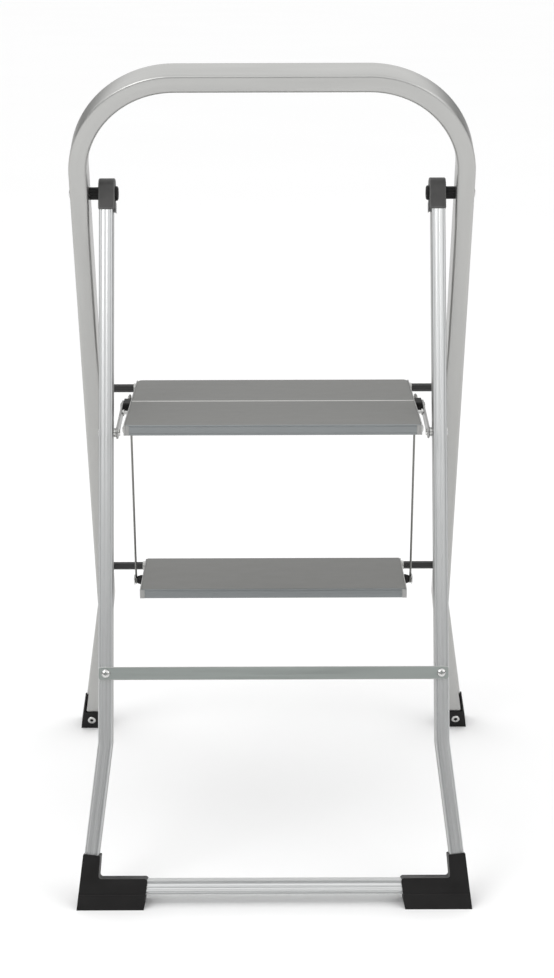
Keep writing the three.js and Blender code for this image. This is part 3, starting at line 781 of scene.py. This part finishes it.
def makePivots():
    places, body = pairPlaces(0, 0), "climbing_frame"
    bush = flutedSleeve(
        "bush", (capOuter + clearance, hoopInner - clearance), pivotSet["bolt"] + clearance,
        pivotSet["bush"], pivotSet["flutes"], pivotSet["fluteDepth"],
    )
    fitPair("pivot_bushes", bush, places, blackPlastic, inHoop, body, "pivot_bush")
    seat, radius = capInner - clearance, pivotSet["nut"]
    height, eye = pivotSet["nutHeight"], pivotSet["nutEye"]
    nut = turned("nut", [
        (seat, 0), (seat, radius), (seat - height * 0.45, radius), (seat - height * 0.75, radius * 0.94),
        (seat - height, radius * 0.78), (seat - height, eye), (seat - height * 0.55, eye * 0.9),
        (seat - height * 0.55, 0),
    ])
    fitPair("pivot_nuts", nut, places, blackPlastic, inHoop, body, "pivot_nut")
    bolt = turned("bolt", headed(
        seat - pivotSet["boltRoot"], pivotSet["bolt"], hoop["halfWidth"] + headGap,
        pivotSet["head"], pivotSet["headHeight"],
    ))
    fitPair("pivot_bolts", bolt, places, brightSteel, inHoop, body, "pivot_bolt")
    print("pivots made")


# Bars that carry the treads, with fluted sleeves outside them
bar = {
    "radius": 0.0035, "halfLength": 0.204, "chamfer": 0.0006,
    "sleeve": 0.00475, "flutes": 6, "fluteDepth": 0.0008, "from": 0.1626,
}


def makeBars():
    end, radius, chamfer = bar["halfLength"], bar["radius"], bar["chamfer"]
    for level, drop in (("top", topBarDrop), ("low", lowBarDrop)):
        rod = turned("bar", [
            (-end, 0), (-end, radius - chamfer), (-end + chamfer, radius), (-hoopInner, radius), (0, radius),
            (hoopInner, radius), (end - chamfer, radius), (end, radius - chamfer), (end, 0),
        ])
        rod.data.materials.append(brightSteel)
        rod = moved(softShade(rod), inHoop @ Matrix.Translation((0, 0, -drop)))
        fit(rod, f"{level}_tread_bar", "climbing_frame", [f"{level}_bar"])
        sleeve = flutedSleeve(
            "sleeve", (bar["from"], hoopInner - clearance), radius + clearance, bar["sleeve"],
            bar["flutes"], bar["fluteDepth"],
        )
        name, places = f"{level}_bar_sleeve", pairPlaces(0, -drop)
        fitPair(name + "s", sleeve, places, sleevePlastic, inHoop, "climbing_frame", name)
    print("bars made")


# Shoes on the hoop's ends
shoe = {
    "wall": 0.0013, "plateRise": 0.034, "stripRise": 0.063, "stripFlat": 0.004,
    "below": 0.014, "flare": 0.001, "socketRise": 0.0078, "round": 0.00045,
    "rivetRise": 0.021, "rivetHead": 0.0054, "rivetEye": 0.0021, "rivetRim": 0.0011,
}


def belowFloor():
    return block("below floor", (-1, -1, -0.5), (1, 1, 0))


# The room for a tube's end, from the drop top down to the drop bottom
def socketOutline(middle, top, bottom, room):
    return [
        (middle(top) - room, -top), (middle(top) + room, -top),
        (middle(bottom) + room, -bottom), (middle(bottom) - room, -bottom),
    ]


def makeShoes():
    wall = shoe["wall"]
    room, roomDepth = hoop["tubeWidth"] / 2 + clearance, hoop["tubeDepth"] / 2 + clearance
    half, depth = room + wall, roomDepth + wall
    bottom, plateTop = hoopFloorDrop + shoe["below"], hoopFloorDrop - shoe["plateRise"]
    stripTop, socketFloor = hoopFloorDrop - shoe["stripRise"], hoopFloorDrop - shoe["socketRise"]
    atBottom, atStrip, atPlate = hoopMiddle(bottom), hoopMiddle(stripTop), hoopMiddle(plateTop)
    outline = filleted([
        (atBottom - half, -bottom, 0), (atBottom + half + shoe["flare"], -bottom, 0),
        (atStrip + half, -stripTop, 0.0005), (atStrip + half - wall, -stripTop, 0.0005),
        (atPlate + half - wall - 0.0002, -plateTop, 0.002), (atPlate - half, -plateTop, 0.001),
    ])
    socket = socketOutline(hoopMiddle, stripTop - 0.02, socketFloor, room)
    over = 0.001
    slope = [
        (shoe["stripFlat"] - depth, over - stripTop), (depth + over, over - stripTop),
        (depth + over, -plateTop),
    ]
    for name, side in sides:
        body = plate("shoe", mirrored(outline, side), -depth, depth, "y")
        hollow = plate("socket", mirrored(socket, side), -roomDepth, roomDepth, "y")
        combine(body, [hollow, plate("above slope", slope, *span(side, 0.15, 0.3))])
        combine(moved(body, inHoop), [belowFloor()])
        eased(body, shoe["round"], [blackPlastic, rubbedBlackHighlight])
        fit(body, f"hoop_end_shoe_{name}", "climbing_frame", [f"hoop_shoe_{name}"])
    face, head, eye, rim = depth + 0.0001, shoe["rivetHead"], shoe["rivetEye"], shoe["rivetRim"]
    end = [
        (face, eye), (face + rim * 0.5, eye + 0.0002), (face + rim, eye + 0.0010),
        (face + rim * 0.9, head - 0.0014), (face + rim * 0.5, head - 0.0003), (face, head),
        (face - 0.0002, eye + 0.0009),
    ]
    profile = end + [(-x, r) for x, r in reversed(end)]
    drop = hoopFloorDrop - shoe["rivetRise"]
    rivet, places = turned("rivet", profile, ring=True), frontPlaces(hoopMiddle(drop), 0, -drop)
    fitPair("shoe_rivets", rivet, places, brightSteel, inHoop, "climbing_frame", "shoe_rivet")
    print("shoes made")


# Corner feet of the support frame
foot = {
    "topDrop": 0.717, "topIn": 0.0096, "topOut": 0.0086, "topSlope": 0.0022, "halfDepth": 0.014,
    "outerX": 0.212, "armTipX": 0.135, "armSoleX": 0.1405, "armTop": 0.0096,
    "innerDrop": 0.740, "innerX": 0.0105, "socketTop": 0.69, "seatGap": 0.0012,
    "below": 0.014, "band": 0.0115, "bandStep": 0.0009, "round": 0.0008,
}


def makeFeet():
    sole, armTop = supportFloorDrop + foot["below"], foot["armTop"] - leg["crossDrop"]
    top, topX = foot["topDrop"], legMiddle(foot["topDrop"])
    outline = filleted([
        (topX - foot["topIn"], -top, 0.0012), (topX + foot["topOut"], foot["topSlope"] - top, 0.0016),
        (foot["outerX"], -sole, 0), (foot["armSoleX"], -sole, 0), (foot["armTipX"], armTop, 0.0035),
        (legMiddle(foot["innerDrop"]) - foot["innerX"], armTop, 0.0032),
    ])
    room, depth = leg["tubeWidth"] / 2 + clearance, leg["tubeDepth"] / 2 + clearance
    socket = socketOutline(legMiddle, foot["socketTop"], leg["endDrop"] + foot["seatGap"], room)
    bandTop = foot["band"] - supportFloorDrop
    face = foot["halfDepth"]
    for name, side in sides:
        body = plate("foot", mirrored(outline, side), -face, face, "y")
        cutters = [plate("leg socket", mirrored(socket, side), -depth, depth, "y")]
        low, high = span(side, 0.1, leg["crossHalf"] + clearance)
        drop = leg["crossDrop"]
        cutters.append(block("tube socket", (low, -depth, -drop - room), (high, depth, -drop + room)))
        for way in (-1, 1):
            low, high = span(way, face - foot["bandStep"], face + 0.01)
            cutters.append(block("step", (-0.3, low, bandTop), (0.3, high, 0)))
        combine(body, cutters)
        combine(moved(body, inSupport), [belowFloor()])
        eased(body, foot["round"], [blackPlastic, rubbedBlackHighlight])
        fit(body, f"corner_foot_{name}", "support_frame", [f"support_foot_{name}"])
    print("feet made")


# Flat brace across the support legs
strap = {
    "drop": 0.523, "height": 0.014, "thickness": 0.002, "halfLength": 0.188, "corner": 0.003,
    "round": 0.0005, "screwX": 0.1801, "screwRoot": -0.008, "screwShank": 0.0022,
    "screwHead": 0.0048, "screwHeight": 0.0026,
    "recess": 0.0020, "slot": 0.0010, "slotReach": 0.0021, "hole": 0.0013,
}


def crossRecess(piece, seat, height):
    deep, slot, reach = seat + height - strap["recess"], strap["slot"] / 2, strap["slotReach"]
    hole, mouth = strap["hole"], seat + height + 0.001
    cutters = [
        turned("hole", [(deep - 0.0045, 0), (deep - 0.001, hole), (mouth, hole), (mouth, 0)], steps=16),
        block("slot", (deep, -slot, -reach), (seat + 0.01, slot, reach)),
        block("slot", (deep, -reach, -slot), (seat + 0.01, reach, slot)),
    ]
    return combine(piece, cutters)


def makeStrap():
    outline = rectangle(strap["halfLength"], strap["height"] / 2, strap["corner"])
    back = -leg["tubeDepth"] / 2 - clearance
    front = back - strap["thickness"]
    inBrace = inSupport @ Matrix.Translation((0, 0, -strap["drop"]))
    piece = eased(plate("strap", outline, front, back, "y"), strap["round"], [strapMetal, edgeMetal])
    fit(moved(piece, inBrace), "cross_strap", "support_frame", ["strap_brace"])
    head, height = strap["screwHead"], strap["screwHeight"]
    profile = headed(strap["screwRoot"], strap["screwShank"], 0, head, height)
    screw = crossRecess(turned("screw", profile), 0, height)
    places = frontPlaces(strap["screwX"], front - 0.0001, 0)
    fitPair("strap_screws", screw, places, brightSteel, inBrace, "support_frame", "strap_screw")
    print("strap made")


# Treads
tread = {
    "halfWidth": 0.159, "side": 0.0015, "height": 0.012, "skin": 0.002, "edge": 0.0013, "groove": 0.0004,
    "foldIn": 0.0007, "hem": 0.0060, "ear": 0.007, "earRing": 0.0054, "earHole": 0.0038,
    "tabIn": 0.0058, "tabProud": 0.0007, "bead": 0.0009, "seamBead": 0.0011, "round": 0.0004,
}
levels = {
    "top": {
        "near": -0.219, "far": 0.008, "top": 0.008, "fold": 0.0092, "corner": 0.008,
        "beads": 2, "place": inTopTread,
    },
    "low": {
        "near": -0.114, "far": 0.010, "top": 0.0066, "fold": 0.0058, "corner": 0.003,
        "beads": 1, "place": inLowTread,
    },
}
deckHalf = tread["halfWidth"] - tread["side"] - 0.0002


# One deck panel: formed sheet with a folded lip on its near edge, its far corners rounded
def deckPanel(name, near, far, top, corner, fold):
    low, under, skin = top - tread["height"], top - tread["skin"], tread["skin"]
    step, cut = near + (tread["foldIn"] if fold else 0), near + (tread["groove"] if fold else 0)
    foldZ = top - (fold or 0.006)
    outline = filleted([
        (near, top, tread["edge"] if fold else 0.0007), (near, top - 0.0018, 0), (cut, top - 0.0022, 0),
        (cut, top - 0.0026, 0), (near, top - 0.003, 0), (near, foldZ, 0),
        (step, foldZ - 0.0004, 0), (step, low, 0.0007), (step + tread["hem"], low, 0.0004),
        (step + tread["hem"], low + 0.001, 0), (near + skin, low + 0.001, 0),
        (near + skin, under, 0.0008), (far - skin, under, 0.0008), (far - skin, low, 0), (far, low, 0.0004),
        (far, top, 0.0009 if corner else 0.0006),
    ], turnStep=15)
    panel = plate(name, outline, -deckHalf, deckHalf)
    if corner:
        plan = filleted([
            (-0.3, near - 0.1, 0), (0.3, near - 0.1, 0), (0.3, near, 0), (deckHalf, near, 0),
            (deckHalf, far, corner), (-deckHalf, far, corner), (-deckHalf, near, 0), (-0.3, near, 0),
        ], turnStep=7.5)
        combine(panel, [plate("plan", plan, -0.05, 0.05, "z")], "INTERSECT")
    panel.data.materials.append(treadMetal)
    panel.data.materials.append(lipPaintedReflection)
    # Faces turned to the near side take the bluish lip copy of the coating: painted reflection
    for face in panel.data.polygons:
        face.material_index = 1 if face.normal.y < -0.6 else 0
    return softShade(panel, 28)


# Side plate with an ear and ring round the bar, and a beaded tab folded round the near corner
def sidePlate(level, side):
    near, far, top = levels[level]["near"], levels[level]["far"], levels[level]["top"]
    low, ear = top - tread["height"], tread["ear"]
    outline = filleted([
        (near, low, 0.0008), (-ear - 0.002, low, 0.002), (0.001 - ear, -ear, 0.003),
        (ear - 0.001, -ear, 0.003), (far, low + 0.002, 0.001), (far, top, 0.003), (near, top, 0.0012),
    ])
    outer = tread["halfWidth"]
    plank = plate("side", outline, *span(side, outer, outer - tread["side"]))
    eased(plank, tread["round"], [edgeMetal, armMetal])
    start, end, hole, wide = outer - 0.001, bar["from"] - 0.0002, tread["earHole"], tread["earRing"]
    ring = turned("ring", [
        (start, hole), (start, wide), (end - 0.0004, wide), (end, wide - 0.0004), (end, hole),
    ], ring=True)
    ring.data.materials.append(edgeMetal)
    if side < 0:
        moved(ring, Matrix.Rotation(math.pi, 4, "Z"))
    front, back = near - tread["tabProud"], near + 0.0006
    count, width = levels[level]["beads"], tread["tabIn"]
    corners = [(outer, back, 0), (outer - width, back, 0), (outer - width, front + 0.0004, 0)]
    for index in range(count):
        start = outer - width + width * index / count
        end = start + width / count
        corners += [
            (start + 0.0007, front + 0.0004, 0), (start + tread["bead"], front, 0.0002),
            (end - 0.0006, front, 0.0002), (end - 0.0001, front + 0.0004, 0),
        ]
    plan = mirrored(filleted(corners + [(outer, front + 0.0004, 0)], turnStep=30), side)
    tab = plate("tab", plan, low + 0.0004, top - 0.0012, "z")
    eased(tab, 0.0002, [armMetal], segments=2)
    for face in tab.data.polygons:
        face.material_index = 1
    return moved(joined([plank, softShade(ring), tab]), levels[level]["place"])


def makeTreads():
    top, low = levels["top"], levels["low"]
    seam = (top["near"] + top["far"]) / 2
    front = deckPanel("front deck", top["near"], seam - clearance, top["top"], 0, top["fold"])
    fit(moved(front, inTopTread), "top_deck_front", "top_tread", ["top_front_panel"])
    rear = deckPanel("rear deck", seam + clearance, top["far"], top["top"], top["corner"], 0)
    fit(moved(rear, inTopTread), "top_deck_rear", "top_tread", ["top_rear_panel"])
    deck = deckPanel("low deck", low["near"], low["far"], low["top"], low["corner"], low["fold"])
    fit(moved(deck, inLowTread), "low_deck", "low_tread", ["low_panel"])
    path = [(-deckHalf, seam, top["top"] - 0.0004), (deckHalf, seam, top["top"] - 0.0004)]
    bead = moved(tubeAlong("seam bead", path, roundSection(tread["seamBead"]), edgeMetal), inTopTread)
    fit(bead, "top_seam_bead", "top_tread", [])
    for level in ("top", "low"):
        for name, side in sides:
            piece, node = sidePlate(level, side), f"{level}_end_plate_{name}"
            fit(piece, f"{level}_side_plate_{name}", f"{level}_tread", [node])
    print("treads made")


# Linkage: knuckles, link arms, wire rods and their fixings
linkage = {
    "eyeNear": 0.084, "knuckleNear": 0.016, "knuckleFar": 0.012, "knuckleTop": 0.0045,
    "tongueNear": 0.0465, "tongueLow": -0.0036, "tongueHigh": 0.0034, "tongue": 0.0012,
    "rivetHeadOut": 0.0057, "rivetNear": 0.041, "rivetAbove": -0.0004, "round": 0.0007,
    "armInner": 0.168, "armThickness": 0.002, "armWidth": 0.014, "pin": 0.003, "spacer": 0.0050,
    "rodRadius": 0.00125, "rodEye": 0.0037, "rodTopX": 0.1626, "rodLowX": 0.1665,
    "rodNear": 0.060, "rodAbove": 0.001, "screwFromEdge": 0.010, "screwAbove": 0.001,
    "fixingRoot": 0.0048, "shank": 0.002, "studShank": 0.0019, "bushHole": 0.0022, "bushWide": 0.0058,
}


def makeKnuckles():
    eye = -linkage["eyeNear"]
    up = linkage["knuckleTop"]
    near, far = eye - linkage["knuckleNear"], eye + linkage["knuckleFar"]
    blockLine = filleted([(near, -up, 0.002), (far, -up, 0.004), (far, up, 0.0035), (near, up, 0.002)])
    tip = eye - linkage["tongueNear"]
    root, low, high = near + 0.003, linkage["tongueLow"], linkage["tongueHigh"]
    tongueLine = filleted([(tip, low, 0.0025), (root, low, 0), (root, high, 0), (tip, high, 0.0025)])
    inner = tread["halfWidth"] + clearance
    for name, side in sides:
        body = plate("knuckle", blockLine, *span(side, inner, linkage["armInner"] - clearance))
        tongue = plate("tongue", tongueLine, *span(side, inner, inner + linkage["tongue"]))
        combine(body, [tongue], "UNION")
        eased(body, linkage["round"], [blackPlastic, rubbedBlackHighlight])
        moved(body, inTopTread)
        fit(body, f"knuckle_block_{name}", "top_tread", [f"knuckle_{name}"])


def makeArms():
    run = Vector((0, armRivetPlace.y - armPinPlace.y, armRivetPlace.z - armPinPlace.z))
    length, slope = run.length, math.atan2(run.z, run.y)
    half, inner = linkage["armWidth"] / 2, linkage["armInner"]
    outer = inner + linkage["armThickness"]
    outline = filleted([
        (-half, -half, half * 0.97), (length + half, -half, half * 0.97), (length + half, half, half * 0.97),
        (-half, half, half * 0.97),
    ])
    inArm = Matrix.Translation(armPinPlace) @ Matrix.Rotation(slope, 4, "X")
    for name, side in sides:
        arm = plate("arm", outline, *span(side, inner, outer))
        eased(arm, 0.0004, [armMetal, armMetal])
        fit(moved(arm, inArm), f"arm_link_{name}", "link_arms", [f"link_arm_{name}"])


def makeRods():
    section, eye = roundSection(linkage["rodRadius"]), linkage["rodEye"]
    drop = (lowBarPlace - topBarPlace).length
    topX, lowX = linkage["rodTopX"], linkage["rodLowX"]
    opening = math.radians(35)

    # The wire's end, bent nearly full circle round its stud
    def loop(way):
        turns = [opening + (2 * math.pi - 1.7 * opening) * step / 28 for step in range(29)]
        return [(eye * math.sin(turn), -way * eye * math.cos(turn)) for turn in turns]

    for name, side in sides:
        upper = [(topX, y, z) for y, z in reversed(loop(1))]
        lower = [(lowX, y, z - drop) for y, z in loop(-1)]
        neck = eye * 2.2
        path = [(side * x, y, z) for x, y, z in upper + [(topX, 0, -neck), (lowX, 0, neck - drop)] + lower]
        rod = tubeAlong("rod", path, section, wireSteel, side=(1.0, 0.0, 0.0))
        moved(rod, Matrix.Translation(rodTopPlace) @ Matrix.Rotation(hoopLean, 4, "X"))
        fit(rod, f"wire_rod_{name}", "tie_rods", [f"tie_rod_{name}"])


# Tread rivets, screws and studs: piece, node, body, frame, place on its side, and the turned profile
def headedFixings():
    outer, shank, studShank = tread["halfWidth"], linkage["shank"], linkage["studShank"]
    root = outer - linkage["fixingRoot"]
    near, above = -linkage["rodNear"], linkage["rodAbove"]
    rodFace = linkage["rodRadius"] + headGap
    rivetY = -linkage["eyeNear"] - linkage["rivetNear"]
    screwY = levels["top"]["near"] + linkage["screwFromEdge"]
    return (
        ("knuckle_rivets", "knuckle_rivet", "top_tread", inTopTread, (rivetY, linkage["rivetAbove"]),
         headed(root, shank, outer + linkage["rivetHeadOut"], 0.0038, 0.003)),
        ("plate_screws", "plate_screw", "top_tread", inTopTread, (screwY, linkage["screwAbove"]),
         headed(root, shank, outer + 0.0001, 0.004, 0.0018)),
        ("top_rod_studs", "rod_stud_top", "top_tread", inTopTread, (near, above),
         headed(root, studShank, linkage["rodTopX"] + rodFace, 0.0032, 0.0011)),
        ("low_rod_studs", "rod_stud_low", "low_tread", inLowTread, (near, above),
         headed(root, studShank, linkage["rodLowX"] + rodFace, 0.0066, 0.0016)),
    )


def makeLinkFixings():
    for piece, node, body, place, at, profile in headedFixings():
        fitPair(piece, turned(node, profile), pairPlaces(*at), brightSteel, place, body, node)
    start, wide, hole = tread["halfWidth"] + clearance, linkage["bushWide"], linkage["bushHole"]
    end = linkage["rodLowX"] - linkage["rodRadius"] - headGap
    bush = turned("bush", [
        (start, hole), (start, wide), (tread["halfWidth"] + 0.002, wide), (end - 0.0004, 0.0046),
        (end, 0.0042), (end, hole),
    ], ring=True)
    places = pairPlaces(-linkage["rodNear"], linkage["rodAbove"])
    fitPair("rod_bushes", bush, places, blackPlastic, inLowTread, "low_tread", "rod_bush")
    inner, pin, outside = linkage["armInner"], linkage["pin"], leg["halfWidth"] + headGap
    profile = [
        (inner - 0.0021, 0), (inner - 0.0021, pin), (inner - 0.0016, 0.0036), (inner - 0.0008, 0.0040),
        (inner - 0.0002, 0.0040), (inner - 0.0002, pin), (outside, pin), (outside, 0.005),
        (outside + 0.0007, 0.0046), (outside + 0.0013, pin), (outside + 0.0015, 0),
    ]
    places, inPin = pairPlaces(0, 0), Matrix.Translation(armPinPlace)
    fitPair("arm_pins", turned("pin", profile), places, brightSteel, inPin, "support_frame", "arm_pin")
    armOuter = inner + linkage["armThickness"]
    start = armOuter + clearance
    wall, wide, hole = leg["halfWidth"] - leg["tubeWidth"] - clearance, linkage["spacer"], pin + clearance
    spacer = turned("spacer", [
        (start, hole), (start, wide - 0.0004), (start + 0.0003, wide), (wall - 0.0009, wide),
        (wall - 0.0006, wide - 0.0004), (wall, wide - 0.0004), (wall, hole),
    ], ring=True)
    fitPair("arm_spacers", spacer, places, brightSteel, inPin, "support_frame", "arm_spacer")
    rivet = turned("rivet", headed(inner + clearance, pin, armOuter + headGap, 0.005, 0.002))
    atRivet = Matrix.Translation(Vector((0, armRivetPlace.y, armRivetPlace.z)))
    fitPair("arm_rivets", rivet, places, brightSteel, atRivet, "link_arms", "arm_rivet")
    print("linkage made")


for make in (
    makeCamera, makeLight, makeFloor, makeHoop, makeLegs, makeCaps, makePivots, makeBars, makeShoes,
    makeFeet, makeStrap, makeTreads, makeKnuckles, makeArms, makeRods, makeLinkFixings,
):
    make()
